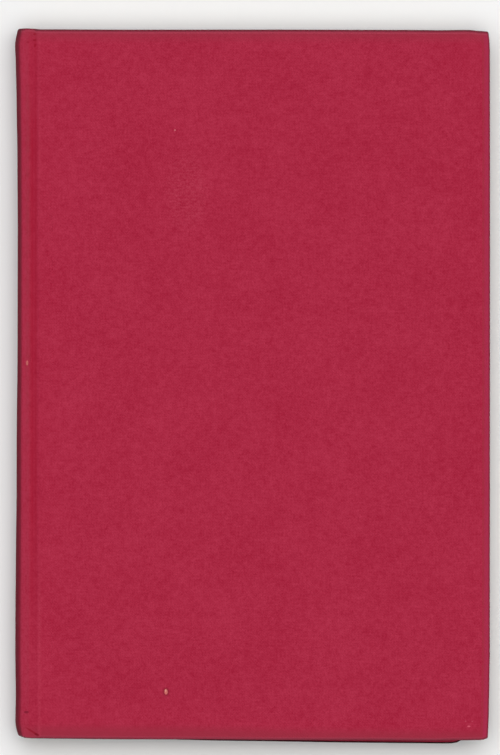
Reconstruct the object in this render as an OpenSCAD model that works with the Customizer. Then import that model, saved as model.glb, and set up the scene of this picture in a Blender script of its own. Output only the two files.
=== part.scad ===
// Cloth-covered hardback book, closed and lying flat on its rear cover.
// X runs from spine to fore-edge, Y from tail to head, Z from rear cover to front cover.
// The origin is the middle of the rear cover's outer face, in millimetres.

/* [Pages] */
// Height of the pages, tail to head
page_h = 216; // [180:1:260]
// Width of one leaf, back to fore-edge
page_w = 142.5; // [110:0.5:180]
// Thickness of all the leaves together
block_t = 19; // [15:0.5:30]
// Thickness of an endpaper
paper_t = 0.15; // [0.1:0.01:0.2]

/* [Case] */
// Thickness of a cover board
board_t = 2.5; // [2:0.1:3.2]
// Thickness of the covering cloth
cloth_t = 0.35; // [0.25:0.01:0.45]
// Reach of the covers beyond the pages at head, tail and fore-edge
square = 3.05; // [2.2:0.05:4.5]
// Width of cloth turned over onto the inside of a board
turn_in = 15; // [10:0.5:20]
// Room between a cover's lining and the first leaf
cover_gap = 0.05; // [0.05:0.05:0.4]
// Roundness of a covered board's edge
edge_r = 0.6; // [0.5:0.05:1]
// Flat worn onto each fore-edge corner of a cover
corner_cut = 0.3; // [0.1:0.1:1.5]

/* [Spine] */
// Radius of the rounded back, outside the cloth
back_r = 52; // [43:1:80]
// Roundness of the ridge along each side of the spine
ridge_r = 1.45; // [1.4:0.05:1.8]
// Depth of the ridge below the face of the cover
ridge_drop = 0.35; // [0.2:0.05:0.5]
// Thickness of the card that stiffens the spine
inlay_t = 0.65; // [0.4:0.05:0.8]
// Room between that card and the lined back
hollow = 0.6; // [0.5:0.05:0.8]
// Thickness of the paper lining on the back
lining_t = 0.2; // [0.1:0.05:0.3]
// Thickness of the open-weave mull on the back
mull_t = 0.2; // [0.1:0.05:0.25]
// Length of the chamfer where the ends of the spine are pulled in
cap_len = 3.7; // [1:0.1:6]
// Depth of that chamfer
cap_in = 1.3; // [0.6:0.1:1.6]

/* [Hinges] */
// Distance from the ridge to the bottom of the pressed groove
joint_w = 2.68; // [2.5:0.02:3.6]
// Height of the groove's floor above the inside of the board
groove_lift = 0.75; // [0.6:0.05:1]
// Roundness of the groove on its spine side
groove_r = 0.7; // [0.4:0.05:0.8]
// Roundness of the groove on its board side
board_side_r = 1.1; // [0.9:0.05:1.4]
// Hair gap at the line on which a cover turns
slit = 0.2; // [0.1:0.02:0.3]
// Width of the mull glued under each pastedown
mull_flange = 22; // [12:1:30]
// Distance that the mull stops short of the pages at each end
mull_short = 13; // [13:0.5:20]

/* [Headbands] */
// Diameter of the bead
bead_d = 1.5; // [1:0.1:2]
// Depth of the tape glued to the back
tape_w = 11; // [6:0.5:12]

/* [Squareness] */
// Slant of the front cover's tail edge, in degrees
front_slant = 0.23; // [0:0.01:0.6]
// Slant of the rear cover's tail edge, in degrees
rear_slant = 0.6; // [0:0.01:0.8]
// Distance that the rear cover's tail edge stands out at mid-width
rear_out = 0.24; // [0:0.02:0.6]
// Length of the bumped corner on the rear cover
bump_len = 9; // [4:0.5:14]
// Depth of that bumped corner
bump_d = 0.7; // [0.2:0.1:1.2]

/* [Hidden] */

// Depths below the face of a cover, from the outside in
under_board = cloth_t + board_t;
under_turn = under_board + cloth_t;
leaf_top = under_turn + paper_t + cover_gap;
block_top = leaf_top + paper_t;
groove_d = under_board - groove_lift;
half_t = block_top + block_t / 2;

// Depths of the layers on the back, measured inwards from the outside of the spine
under_inlay = cloth_t + inlay_t;
lining_out = under_inlay + hollow;
mull_out = lining_out + lining_t;
block_back = mull_out + mull_t;

// Small radii and clearances of the folds at the shoulder
fold_r = 2 * paper_t;
tip_clear = 0.3;
shoulder_r = 2;
shoulder_in = 0.5;
knee = 0.35;
mull_seat = 0.075;
mitre_gap = 0.15;
tape_t = 0.15;
bead_clear = 0.05;
bead_set = 0.35;
lining_short = 2;

// Tightest roll that a layer deep under the ridge still gets
least_r = 0.05;

// Steps of the drawn arcs, in degrees: coarse on a small radius, fine on the back
coarse = 10;
fine = 1.5;
large_r = 10;

cover_h = page_h + 2 * square;
board_h = cover_h - 2 * cloth_t;
mull_h = page_h - 2 * mull_short;
turn_y = board_h / 2 - turn_in;
far = 400;
eps = 0.01;

function at_angle(c, r, a) = [c.x + r * cos(a), c.y + r * sin(a)];

// Points of an arc: both ends and every whole step between them. Two arcs on one circle
// share their points
function arc(c, r, a, b) =
    let (s = r > large_r ? fine : coarse, up = b > a,
        first = up ? floor(a / s + eps) + 1 : ceil(a / s - eps) - 1,
        last = up ? ceil(b / s - eps) - 1 : floor(b / s + eps) + 1,
        ks = up ? [first : 1 : last] : [first : -1 : last])
    concat([at_angle(c, r, a)], first == last || up == (first < last) ?
        [for (k = ks) at_angle(c, r, k * s)] : [], [at_angle(c, r, b)]);

// Centre of the circle that rolls over at the shoulder inside a back layer
back_c = [back_r, 0];
function roll_sweep(d, r, top) = asin((top - r) / (back_r - d - r));
function roll_c(d, r, top) = at_angle(back_c, back_r - d - r, 180 - roll_sweep(d, r, top));

// Angle of the normal to the straight run from a convex circle down into a concave one
function run_normal(c, r, g, gr) =
    let (v = g - c) atan2(v.y, v.x) - asin((r + gr) / norm(v)) + 90;

ridge_top = half_t - ridge_drop;
ridge_c = roll_c(0, ridge_r, ridge_top);
hinge_x = ridge_c.x + joint_w;
groove_c = [hinge_x, half_t - groove_d + groove_r];

// The mull's own shoulder lies just under the card's edge
mull_r = fold_r + mull_t;
mull_top = ridge_top - under_inlay - tip_clear;
tip = roll_c(mull_out, mull_r, mull_top);
tip_sweep = roll_sweep(mull_out, mull_r, mull_top);
lining_sweep = fine * floor(tip_sweep / fine);

// Place of a leaf's back edge and fore-edge at the outer faces of the pages
leaf_back = back_r - sqrt(pow(back_r - block_back, 2) - pow(block_t / 2, 2));
page_edge = leaf_back + page_w;
cover_w = page_edge + square;
board_in = hinge_x + board_side_r + cloth_t;
knee_x = board_in - knee;
flange_end = board_in + mull_flange;
turn_x = cover_w - cloth_t - turn_in;

// How far the tail edge of a cover lies below its square place, at a distance from the spine
function tail_drop(side, x) = side > 0 ? (x - cover_w / 2) * tan(front_slant)
    : rear_out + (x - cover_w / 2) * tan(rear_slant);
lowest_y = max(tail_drop(1, cover_w), tail_drop(-1, cover_w - bump_len));
centre_y = lowest_y / 2;

// Upper half of a spine curve at a depth, from the middle of the back to the top of the ridge
function to_ridge(d) =
    let (r = max(ridge_r - d, least_r), c = roll_c(d, r, ridge_top - d),
        s = roll_sweep(d, r, ridge_top - d))
    concat(arc(back_c, back_r - d, 180, 180 - s), arc(c, r, 180 - s, 90));

// The same curve from the top of the ridge down into the groove
function from_ridge(d) =
    let (r = ridge_r - d, n = run_normal(ridge_c, r, groove_c, groove_r + d))
    concat(arc(ridge_c, r, 90, n), arc(groove_c, groove_r + d, n + 180, 270));

function without_first(p) = [for (i = [1 : len(p) - 1]) p[i]];
function to_groove(d) = concat(to_ridge(d), without_first(from_ridge(d)));

// A curve round the folded endpaper's tip and into the groove, at radii r and gr
function tip_to_groove(r, gr) =
    let (n = run_normal(tip, r, groove_c, gr))
    concat(arc(tip, r, 180 - tip_sweep, n), arc(groove_c, gr, n + 180, 270));

function backwards(p) = [for (i = [len(p) - 1 : -1 : 0]) p[i]];

// Both halves of a curve that begins on the middle of the back
function whole(p) = concat([for (i = [len(p) - 1 : -1 : 1]) [p[i].x, -p[i].y]], p);

module band(outer, inner) {
    polygon(concat(outer, backwards(inner)));
}

// Puts the working frame, with the spine at X = 0 and the middle of the book at Z = 0, in place
module placed() {
    translate([-cover_w / 2, centre_y, half_t]) children();
}

// Turns a section drawn in X and Z into a solid that runs along Y
module along_y(length) {
    rotate([90, 0, 0]) linear_extrude(height = length, center = true) children();
}

// Keeps what lies on the spine side of both hinge lines
module spine_side() {
    intersection() {
        children();
        translate([0, -far / 2]) square([hinge_x - slit / 2, far]);
    }
}

// The front cover is drawn, and the rear one is its mirror image
module on_side(side) {
    mirror([0, 0, side > 0 ? 0 : 1]) children();
}

// Text block: rounded back, shoulders backed outwards, hollow fore-edge

function shoulder(r) =
    let (c = [hinge_x + shoulder_in, half_t - block_top + shoulder_r],
        n = run_normal(tip, r, c, shoulder_r - r))
    concat(r > 0 ? arc(tip, r, 180 - tip_sweep, n) : [tip], arc(c, shoulder_r - r, n + 180, 270));

function block_half() = concat(arc(back_c, back_r - block_back, 180, 180 - tip_sweep), shoulder(0));

module text_block() {
    fore_c = [back_r + page_w, 0];
    fore_sweep = asin(block_t / 2 / (back_r - block_back));
    color([0.93, 0.90, 0.82]) placed() along_y(page_h)
        polygon(concat(whole(block_half()),
            arc(fore_c, back_r - block_back, 180 - fore_sweep, 180 + fore_sweep)));
}

// Endpapers: a flyleaf on the pages, folded back at the shoulder and cut at the hinge line

module endpaper_section() {
    fly_end = [[page_edge, half_t - leaf_top], [page_edge, half_t - block_top]];
    polygon(concat(shoulder(paper_t), fly_end, backwards(shoulder(0))));
    spine_side() band(tip_to_groove(fold_r, groove_r + 2 * cloth_t),
        tip_to_groove(paper_t, groove_r + 2 * cloth_t + paper_t));
}

module flyleaf(side) {
    color([0.95, 0.92, 0.85]) placed() on_side(side) along_y(page_h) endpaper_section();
}

module front_flyleaf() {
    flyleaf(1);
}

module rear_flyleaf() {
    flyleaf(-1);
}

// Headbands: a round bead over each end of the back, on a tape glued to it

module band_at_end(end) {
    radius = back_r - block_back;
    color([0.90, 0.86, 0.76]) placed() mirror([0, end > 0 ? 0 : 1, 0])
        translate([back_r, 0, 0]) rotate([-90, 0, 0]) rotate([0, 0, 180 - lining_sweep])
        rotate_extrude(angle = 2 * lining_sweep, $fn = 96) {
            translate([radius - bead_set, page_h / 2 + bead_d / 2 + bead_clear])
                circle(d = bead_d, $fn = 32);
            translate([radius, page_h / 2 - tape_w]) square([tape_t, tape_w + bead_d / 2]);
        }
}

module headband() {
    band_at_end(1);
}

module tailband() {
    band_at_end(-1);
}

// Linings of the back: mull first, then paper

module spine_mull() {
    outer = concat(arc(back_c, back_r - mull_out, 180, 180 - tip_sweep),
        tip_to_groove(mull_r, groove_r + cloth_t + mull_seat));
    inner = concat(arc(back_c, back_r - block_back, 180, 180 - tip_sweep),
        tip_to_groove(fold_r, groove_r + cloth_t + mull_seat + mull_t));
    color([0.85, 0.82, 0.72]) placed() along_y(mull_h)
        spine_side() band(whole(outer), whole(inner));
}

module spine_lining() {
    color([0.80, 0.74, 0.62]) placed() along_y(page_h - 2 * lining_short) band(
        whole(arc(back_c, back_r - lining_out, 180, 180 - lining_sweep)),
        whole(arc(back_c, back_r - mull_out, 180, 180 - lining_sweep)));
}

// Spine of the case: curved card, and the cloth that wraps it and reaches into both grooves

module inlay_section() {
    band(whole(to_ridge(cloth_t)), whole(to_ridge(under_inlay)));
}

// The cloth turned in at head and tail: behind the card, round its edges and into the grooves
module turn_in_section() {
    wrap_x = ridge_c.x + cloth_t;
    outer = concat(to_ridge(under_inlay), from_ridge(cloth_t));
    inner = concat(to_ridge(under_inlay + cloth_t),
        [[wrap_x, ridge_top - under_inlay - cloth_t]],
        [for (p = from_ridge(2 * cloth_t)) if (p.x > wrap_x) p]);
    band(whole(outer), whole(inner));
}

// Outline of the spine seen from the front, pulled in at head and tail
module cap_plan(inset) {
    h = cover_h / 2 - inset;
    polygon([[inset, cap_len - h], [inset + cap_in, -h], [far, -h], [far, h],
        [inset + cap_in, h], [inset, h - cap_len]]);
}

module capped(inset) {
    intersection() {
        along_y(cover_h - 2 * inset) children();
        linear_extrude(height = far, center = true) cap_plan(inset);
    }
}

module spine_inlay() {
    color([0.62, 0.58, 0.52]) placed() capped(cloth_t) inlay_section();
}

module spine_cloth() {
    color([0.66, 0.16, 0.26]) placed() difference() {
        capped(0) spine_side() {
            band(whole(to_groove(0)), whole(to_groove(cloth_t)));
            inlay_section();
            turn_in_section();
        }
        capped(cloth_t) inlay_section();
        along_y(2 * turn_y) turn_in_section();
    }
}

// Covers: board, wrapped cloth, mull flange and pastedown, all drawn for the front

// Section of a cover's rim: everything within an edge that faces X, with both corners rounded
module rim_section(inset) {
    r = edge_r - inset;
    high = half_t - inset;
    low = half_t - under_turn + inset;
    polygon(concat([[-far, low]], arc([-inset - r, low + r], r, 270, 360),
        arc([-inset - r, high - r], r, 0, 90), [[-far, high]]));
}

module rim(inset, at, turn) {
    translate(at) rotate(turn) along_y(2 * far) rim_section(inset);
}

// Everything behind an upright flat that is worn or knocked across a corner
module flat(inset, at, turn) {
    translate(at) rotate(turn) translate([-inset - far, -far, -far]) cube([far, 2 * far, 2 * far]);
}

// Everything inside the edges of a cover: fore-edge, head, tail and worn corners
module within_rims(inset, side) {
    slant = side > 0 ? front_slant : rear_slant;
    h = cover_h / 2;
    bump_x = cover_w - bump_len;
    fore_tail = h + tail_drop(side, side > 0 ? cover_w : bump_x);
    intersection() {
        rim(inset, [cover_w, 0], 0);
        rim(inset, [cover_w / 2, h], 90);
        rim(inset, [cover_w / 2, -h - tail_drop(side, cover_w / 2)], -90 - slant);
        flat(inset, [cover_w - corner_cut, h - corner_cut], 45);
        flat(inset, [cover_w - corner_cut, corner_cut - fore_tail], -45);
        if (side < 0)
            flat(inset, [bump_x, -h - tail_drop(side, bump_x)],
                -90 - slant + atan(bump_d / bump_len));
        children();
    }
}

board_side_c = [hinge_x, half_t - groove_d + board_side_r];
turn_x0 = hinge_x + slit / 2;
turn_a = 270 + asin(slit / 2 / board_side_r);

// A layer under the board: it leaves the hinge line at one depth and runs flat at another
function under(at_hinge, at_board, x) = [[turn_x0, half_t - at_hinge],
    [knee_x, half_t - at_board], [x, half_t - at_board]];

// Section of the whole covered board, from the hinge line to beyond the fore-edge
module cover_section() {
    polygon(concat(arc(board_side_c, board_side_r, turn_a, 360),
        arc([hinge_x + board_side_r + edge_r, half_t - edge_r], edge_r, 180, 90),
        [[far, half_t]], backwards(under(groove_d + 2 * cloth_t, under_turn, far))));
}

// Section of the small space between cloth, board edge and turned-in cloth at the hinge
module joint_space_section() {
    polygon(concat([for (p = arc(board_side_c, board_side_r + cloth_t, 270, 360))
        if (p.x > turn_x0 + slit) p], [[board_in, half_t - under_board],
        [knee_x, half_t - under_board]]));
}

// Section of all that lies inside the cloth where it is not turned in
module window_section() {
    polygon(concat([[turn_x0 - slit, -half_t], [turn_x0 - slit, half_t - groove_d - cloth_t]],
        arc(board_side_c, board_side_r + cloth_t, 270, 360),
        [[board_in, half_t - under_board], [far, half_t - under_board], [far, -half_t]]));
}

module board_section() {
    r = edge_r - cloth_t;
    polygon(concat(arc([board_in + r, half_t - cloth_t - r], r, 180, 90),
        [[far, half_t - cloth_t], [far, half_t - under_board], [board_in, half_t - under_board]]));
}

module board(side) {
    color([0.62, 0.58, 0.52]) placed() on_side(side) within_rims(cloth_t, side)
        along_y(far) board_section();
}

module window(side) {
    intersection() {
        along_y(2 * turn_y) window_section();
        translate([turn_x - far, -far, -far]) cube([far, 2 * far, 2 * far]);
    }
}

module cloth(side) {
    color([0.66, 0.16, 0.26]) placed() on_side(side) difference() {
        within_rims(0, side) along_y(far) cover_section();
        within_rims(cloth_t, side) along_y(far) board_section();
        along_y(board_h) joint_space_section();
        window(side);
        for (s = [-1, 1])
            translate([turn_x, s * turn_y, half_t - under_turn]) rotate(s * 45)
                translate([-mitre_gap, -mitre_gap / 2, -eps])
                cube([(turn_in - cloth_t) * sqrt(2), mitre_gap, cloth_t + eps]);
    }
}

module mull(side) {
    color([0.85, 0.82, 0.72]) placed() on_side(side) along_y(mull_h)
        band(under(groove_d + cloth_t + mull_seat, under_board, flange_end),
            under(groove_d + cloth_t + mull_seat + mull_t, under_board + mull_t, flange_end));
}

// What the pastedown is laid over, with a skin of the given thickness round it
module stack(skin) {
    hinge_top = groove_d + 2 * cloth_t;
    along_y(mull_h + 2 * skin)
        band(under(hinge_top, under_board, flange_end + skin),
            under(hinge_top + skin, under_board + mull_t + skin, flange_end + skin));
    for (s = [-1, 1])
        translate([0, s * (turn_y - skin + far / 2), 0]) along_y(far)
            band(under(hinge_top, under_board, far),
                under(hinge_top + skin, under_turn + skin, far));
    translate([turn_x - skin, -far / 2, half_t - under_turn - skin])
        cube([far, far, cloth_t + skin]);
}

module pastedown(side) {
    hinge_top = groove_d + 2 * cloth_t;
    color([0.95, 0.92, 0.85]) placed() on_side(side) difference() {
        intersection() {
            union() {
                along_y(page_h) band(under(hinge_top, under_board, page_edge),
                    under(hinge_top + paper_t, under_board + paper_t, page_edge));
                stack(paper_t);
            }
            translate([0, -page_h / 2, -far]) cube([page_edge, page_h, 2 * far]);
        }
        stack(0);
    }
}

module front_board() {
    board(1);
}

module front_cloth() {
    cloth(1);
}

module front_pastedown() {
    pastedown(1);
}

module front_mull() {
    mull(1);
}

module rear_board() {
    board(-1);
}

module rear_cloth() {
    cloth(-1);
}

module rear_pastedown() {
    pastedown(-1);
}

module rear_mull() {
    mull(-1);
}

text_block();
front_flyleaf();
rear_flyleaf();
headband();
tailband();
spine_mull();
spine_lining();
spine_inlay();
spine_cloth();
front_board();
front_cloth();
front_pastedown();
front_mull();
rear_board();
rear_cloth();
rear_pastedown();
rear_mull();
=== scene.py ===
"""Cloth-covered hardback book, closed, seen straight from above.

Working measures are millimetres. u runs from the spine to the fore-edge, y from tail to head, and z from
the middle of the book's thickness to the front cover. place() puts them in the frame, in metres.
"""

import math

import bpy
import numpy as np
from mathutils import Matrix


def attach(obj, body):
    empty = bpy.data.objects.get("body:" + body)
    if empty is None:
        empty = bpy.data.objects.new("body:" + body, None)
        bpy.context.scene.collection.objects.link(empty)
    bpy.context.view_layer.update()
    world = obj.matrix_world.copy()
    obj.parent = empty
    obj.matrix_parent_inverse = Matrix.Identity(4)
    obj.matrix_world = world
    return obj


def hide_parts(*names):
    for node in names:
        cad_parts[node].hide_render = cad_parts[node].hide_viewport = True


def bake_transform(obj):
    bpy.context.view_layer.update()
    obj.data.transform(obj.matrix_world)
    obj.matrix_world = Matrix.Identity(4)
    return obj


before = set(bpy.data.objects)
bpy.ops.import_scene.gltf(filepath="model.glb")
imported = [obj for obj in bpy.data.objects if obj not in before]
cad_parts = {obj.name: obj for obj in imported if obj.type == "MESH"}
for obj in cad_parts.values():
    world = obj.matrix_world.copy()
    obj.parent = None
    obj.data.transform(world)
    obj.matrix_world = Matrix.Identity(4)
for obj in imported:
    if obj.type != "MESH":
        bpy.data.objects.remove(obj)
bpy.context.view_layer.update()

# Sizes of the book, as in its construction
PAGE_H, PAGE_W, BLOCK_T = 216.0, 142.5, 19.0
PAPER_T, CLOTH_T, BOARD_T = 0.15, 0.35, 2.5
TURN_IN, EDGE_R, SQUARE = 15.0, 0.6, 3.05
BACK_R, RIDGE_R, RIDGE_DROP = 52.0, 1.45, 0.35
INLAY_T, HOLLOW, LINING_T, MULL_T = 0.65, 0.6, 0.2, 0.2
JOINT_W, MULL_FLANGE = 2.68, 22.0
BEAD_D, TAPE_W, BEAD_SET, BEAD_CLEAR = 1.5, 11.0, 0.35, 0.05
CENTRE_Y = 0.4615

UNDER_BOARD = CLOTH_T + BOARD_T
UNDER_TURN = UNDER_BOARD + CLOTH_T
LEAF_TOP = UNDER_TURN + PAPER_T + 0.05
BLOCK_TOP = LEAF_TOP + PAPER_T
HALF_T = BLOCK_TOP + BLOCK_T / 2
UNDER_INLAY = CLOTH_T + INLAY_T
TURNED = UNDER_INLAY + CLOTH_T
BLOCK_BACK = UNDER_INLAY + HOLLOW + LINING_T + MULL_T
PAGE_EDGE = BACK_R - math.sqrt((BACK_R - BLOCK_BACK) ** 2 - (BLOCK_T / 2) ** 2) + PAGE_W
COVER_W = PAGE_EDGE + SQUARE
RIDGE_SWEEP = math.asin((HALF_T - RIDGE_DROP - RIDGE_R) / (BACK_R - RIDGE_R))
RIDGE_U = BACK_R - (BACK_R - RIDGE_R) * math.cos(RIDGE_SWEEP)
RIDGE_Z = HALF_T - RIDGE_DROP - RIDGE_R
HINGE_U = RIDGE_U + JOINT_W
BOARD_U = HINGE_U + 1.7
BOARD_IN = HINGE_U + 1.45

MM = 0.001


def place(u, y, z):
    """Points of the book in the frame, in metres; y is already the frame's."""
    u, y, z = np.broadcast_arrays(u, y, z)
    return np.stack([u - COVER_W / 2, y, z + HALF_T], -1).reshape(-1, 3) * MM


def smooth(t):
    t = np.clip(t, 0, 1)
    return t * t * (3 - 2 * t)


def eased(x, stations):
    """A value that eases from station to station, each given as (place, value)."""
    xs, ys = np.array(stations, float).T
    x = np.clip(x, xs[0], xs[-1])
    i = np.clip(np.searchsorted(xs, x, side="right") - 1, 0, len(xs) - 2)
    t = (x - xs[i]) / (xs[i + 1] - xs[i])
    return ys[i] + (ys[i + 1] - ys[i]) * (0.5 * t + 0.5 * smooth(t))


def hump(x, at, width, power=2):
    """1 at a place, fading to 0 on both sides of it."""
    return np.exp(-((x - at) / width) ** power)


# ---------------------------------------------------------------- finishes


class Tint:
    """A value, colour or vector on its way through a finish. Arithmetic on it adds the nodes."""

    def __init__(self, finish, socket):
        self.finish, self.socket = finish, socket

    def maths(self, operation, a, b=0.0):
        return self.finish.node("ShaderNodeMath", {"operation": operation}, {0: a, 1: b})

    def __add__(self, other):
        return self.maths("ADD", self, other)

    __radd__ = __add__

    def __sub__(self, other):
        return self.maths("SUBTRACT", self, other)

    def __rsub__(self, other):
        return self.maths("SUBTRACT", other, self)

    def __mul__(self, other):
        return self.maths("MULTIPLY", self, other)

    __rmul__ = __mul__

    def __truediv__(self, other):
        return self.maths("DIVIDE", self, other)

    def __rtruediv__(self, other):
        return self.maths("DIVIDE", other, self)

    def __pow__(self, other):
        return self.maths("POWER", self, other)

    def sine(self):
        return self.maths("SINE", self)

    def size(self):
        return self.maths("ABSOLUTE", self)

    def most(self, other):
        return self.maths("MAXIMUM", self, other)


class Finish:
    """One material of the book, or the light of the room."""

    def __init__(self, name, made=None, end="ShaderNodeOutputMaterial"):
        self.material, self.end = made or bpy.data.materials.new(name), end
        self.material.use_nodes = True
        self.tree = self.material.node_tree
        self.tree.nodes.clear()

    def node(self, kind, settings=None, inputs=None, output=0):
        """A node with its settings, then the values or links of its sockets."""
        made = self.tree.nodes.new(kind)
        for key, value in (settings or {}).items():
            setattr(made, key, value)
        for key, value in (inputs or {}).items():
            if isinstance(value, Tint):
                self.tree.links.new(value.socket, made.inputs[key])
            else:
                made.inputs[key].default_value = value
        return Tint(self, made.outputs[output])

    def read(self, name, output="Fac"):
        """A value that the mesh carries."""
        return self.node("ShaderNodeAttribute", {"attribute_name": name}, output=output)

    def parts(self, vector):
        split = self.node("ShaderNodeSeparateXYZ", inputs={0: vector})
        return [Tint(self, s) for s in split.socket.node.outputs]

    def join(self, x, y, z=0.0):
        return self.node("ShaderNodeCombineXYZ", inputs={0: x, 1: y, 2: z})

    def noise(self, vector, scale, detail=2.0, rough=0.5):
        return self.node("ShaderNodeTexNoise", inputs={
            "Vector": vector, "Scale": scale, "Detail": detail, "Roughness": rough})

    def step(self, value, start, end, low=0.0, high=1.0):
        """Eases from low to high as value goes from start to end."""
        return self.node("ShaderNodeMapRange", {"interpolation_type": "SMOOTHSTEP"},
                         {"Value": value, 1: start, 2: end, 3: low, 4: high})

    def mix(self, amount, a, b):
        return self.node("ShaderNodeMix", {"data_type": "RGBA"}, {0: amount, 6: a, 7: b}, output=2)

    def bump(self, height, distance, strength):
        return self.node("ShaderNodeBump", inputs={"Height": height, "Distance": distance, "Strength": strength})

    def spot(self, flat, at, radii, soft=0.5, slant=0.0):
        """1 inside a small ellipse at a place on the laid-out sheet, fading at its rim. A slant makes it fall."""
        x, y, _ = self.parts(flat)
        x, y = x - at[0], y - at[1]
        away = (x / radii[0]) ** 2.0 + ((y + x * slant) / radii[1]) ** 2.0
        return self.step(away, 1.0 - soft, 1.0 + soft, 1.0, 0.0)

    def surface(self, colour, roughness, normal, gloss):
        return self.output(self.node("ShaderNodeBsdfPrincipled", inputs={
            "Base Color": colour, "Roughness": roughness, "Normal": normal, "Specular IOR Level": gloss}))

    def seen(self):
        """1 for what is seen itself or in a reflection, 0 for what only gives light."""
        camera, glossy, through = [self.node("ShaderNodeLightPath", output="Is %s Ray" % kind)
                                   for kind in ("Camera", "Glossy", "Transmission")]
        return camera.most(glossy).most(through)

    def output(self, shader):
        end = self.tree.nodes.new(self.end)
        self.tree.links.new(shader.socket, end.inputs[0])
        return self.material


def paint(red, green, blue):
    """A screen colour, 0 to 255, as the shader's linear one."""
    def linear(c):
        c /= 255
        return c / 12.92 if c <= 0.04045 else ((c + 0.055) / 1.055) ** 2.4
    return (linear(red), linear(green), linear(blue), 1.0)


def cover_cloth():
    """Fine crimson book cloth: uneven threads, mottled grain, rubbed edges, toned margins, a few marks, painted shade
    and a painted highlight.
    """
    f = Finish("crimson book cloth")
    flat = f.read("flat", "Vector")
    wear, pale, slope_shade, painted_shade, joint = [f.read(n) for n in ("wear", "pale", "slope_shade", "painted_shade", "joint")]
    from_fore, from_tail, from_head = f.parts(f.read("rims", "Vector"))
    x, y, _ = f.parts(flat)
    stray = f.noise(flat, 0.9, 2.0)
    warp = ((x + stray * THREAD_STRAY) * (math.pi / THREAD)).sine()
    weft = ((y + stray * THREAD_STRAY) * (math.pi / THREAD)).sine()
    weave = warp * weft
    slub_x = f.noise(f.join(x * 0.50, y * 1.65), 1.0, 2.0, 0.5)
    slub_y = f.noise(f.join(x * 1.75, y * 0.55, 9.0), 1.0, 2.0, 0.5)
    slubs = slub_x + slub_y
    fine = f.noise(flat, 1.6, 1.0, 0.5)
    cloud = f.noise(flat, 0.40, 3.0, 0.6)
    broad = f.noise(flat, 0.05, 3.0, 0.75)
    grain = (slubs - 1.0) * 0.75 + (fine - 0.5) * 0.9 + weave * 0.06
    grain = grain + (cloud - 0.5) * 0.8 + (broad - 0.5) * 0.75
    cloth = f.mix(f.step(grain, -0.95, 0.95), paint(*CLOTH_DARK), paint(*CLOTH_LIGHT))
    # The groove is darker, partly its unrubbed dye and partly painted shade, with painted shade along its creases
    cloth = f.mix(joint * (stray * 0.5 + 0.75), cloth, paint(*GROOVE_DYE_AND_SHADE))
    # Brown toning along the head and tail, and a thin line and a bluer rim along the fore-edge
    uneven = (stray - 0.5) * 1.2
    cloth = f.mix(f.step(from_head + uneven, 0.3, 4.3, 0.62, 0.0), cloth, paint(*HEAD_TONED))
    lean = f.step(x, 60.0, 130.0, 0.85, 0.0)
    cloth = f.mix(f.step(from_tail - lean + uneven, -0.2, 4.2, 0.86, 0.0), cloth, paint(*TAIL_TONED))
    cloth = f.mix(f.step(from_fore, 1.2, 2.1, 0.8, 0.0), cloth, paint(*FORE_TONED))
    line = f.step((from_fore + uneven * 0.25 - FORE_LINE_IN).size(), 0.08, 0.5, 1.0, 0.0)
    cloth = f.mix(line * f.step(cloud, 0.3, 0.6, 0.4, 0.85), cloth, paint(*FORE_LINE))
    # A paler line along the head's and tail's rims, and painted shade on the edge outside it, where it turns from the
    # light
    for away, line_in, paler, rim_shade in ((from_head, 0.38, 0.5, 0.65), (from_tail, 0.1, 0.35, 0.5),
                                         (from_fore, 0.0, 0.0, 0.85)):
        if paler:
            cloth = f.mix(f.step((away - line_in).size(), 0.05, 0.4, paler, 0.0), cloth, paint(*RIM_PALE))
        cloth = f.mix(f.step(away, 0.0, 0.3, rim_shade, 0.0), cloth, paint(*RIM_SHADE))
    # Threads rubbed pale on ridges and edges, and painted shade on the slope from the ridge down into the groove
    rubbed = wear * f.step(fine * 0.6 + slub_y * 0.7, 0.45, 0.85, 0.2, 1.0)
    cloth = f.mix(rubbed * 0.6, cloth, paint(*RUBBED))
    slope_shaded = slope_shade * f.step(f.noise(flat, 0.3, 3.0, 0.6), 0.35, 0.65, 0.3, 1.0)
    cloth = f.mix(slope_shaded, cloth, paint(*SLOPE_SHADE_COLOUR))
    # Pale worn rim of the board, and a painted highlight where the spine turns up into the ridge
    cloth = f.mix(pale * f.step(fine, 0.25, 0.7, 0.4, 1.0), cloth, paint(*WORN_AND_HIGHLIGHT_PALE))
    # Painted shade on the back of the spine, the rolled edges and the rear cover
    cloth = f.mix(painted_shade, cloth, paint(*PAINTED_SHADE_COLOUR))
    # A pale rubbed patch, and small marks
    patch = f.spot(flat, (FACE_S - 20.5, 61.0), (6.0, 11.0), 0.9) * f.step(slub_x + fine, 0.8, 1.3)
    cloth = f.mix(patch * 0.10, cloth, paint(*PATCH))
    for (across, up), radii, colour, amount, slant in MARKS:
        mark = f.spot(flat, (FACE_S + across, up), radii, slant=slant)
        cloth = f.mix(mark * amount, cloth, paint(*colour))
    chip = f.spot(flat, (FACE_S + CHIP[0], CHIP[1]), (0.62, 0.95), 0.7)
    height = weave * 0.45 + slubs * 0.7 + fine * 0.7 - chip * 2.0
    return f.surface(cloth, f.step(fine, 0.2, 0.8, 0.84, 0.94), f.bump(height, 0.00006, 0.8), 0.12)


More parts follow.
